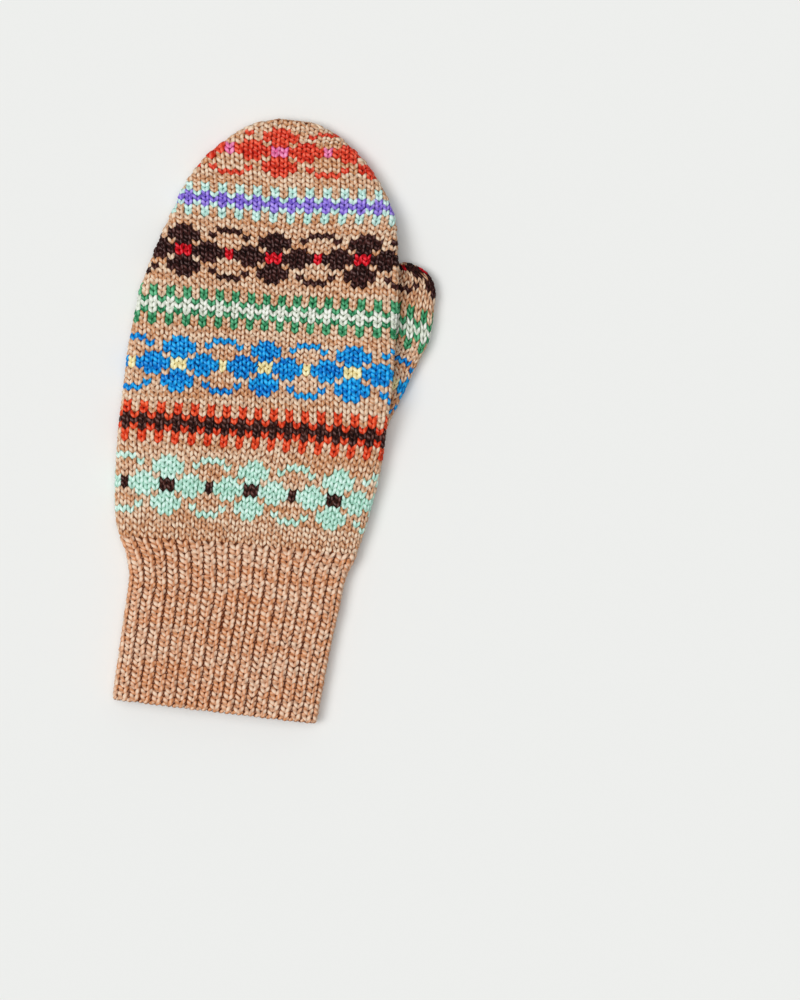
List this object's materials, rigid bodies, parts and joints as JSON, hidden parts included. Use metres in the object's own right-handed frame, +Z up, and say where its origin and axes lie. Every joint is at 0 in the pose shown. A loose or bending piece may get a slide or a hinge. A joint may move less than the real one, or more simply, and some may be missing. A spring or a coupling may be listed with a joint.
{
  "type": "knitted wool mitten",
  "caption": "Left-hand knitted mitten with a ribbed cuff and a thumb, lying flat with the back of the hand up.",
  "frame": {"origin": "middle of the underside of the whole mitten's box, on the surface that it lies on", "axes": "+Y from the cuff to the fingertips, +X across towards the thumb, +Z up through the back of the hand"},
  "size_m": [0.1306, 0.261, 0.0231],
  "materials": {
    "cuff_wool": "ribbed marled wool",
    "hand_wool": "stranded wool stocking stitch in bands",
    "thumb_wool": "stranded wool stocking stitch in bands"
  },
  "bodies": {
    "root": {"cuff": "cuff_wool", "hand": "hand_wool", "thumb": "thumb_wool"}
  },
  "joints": []
}
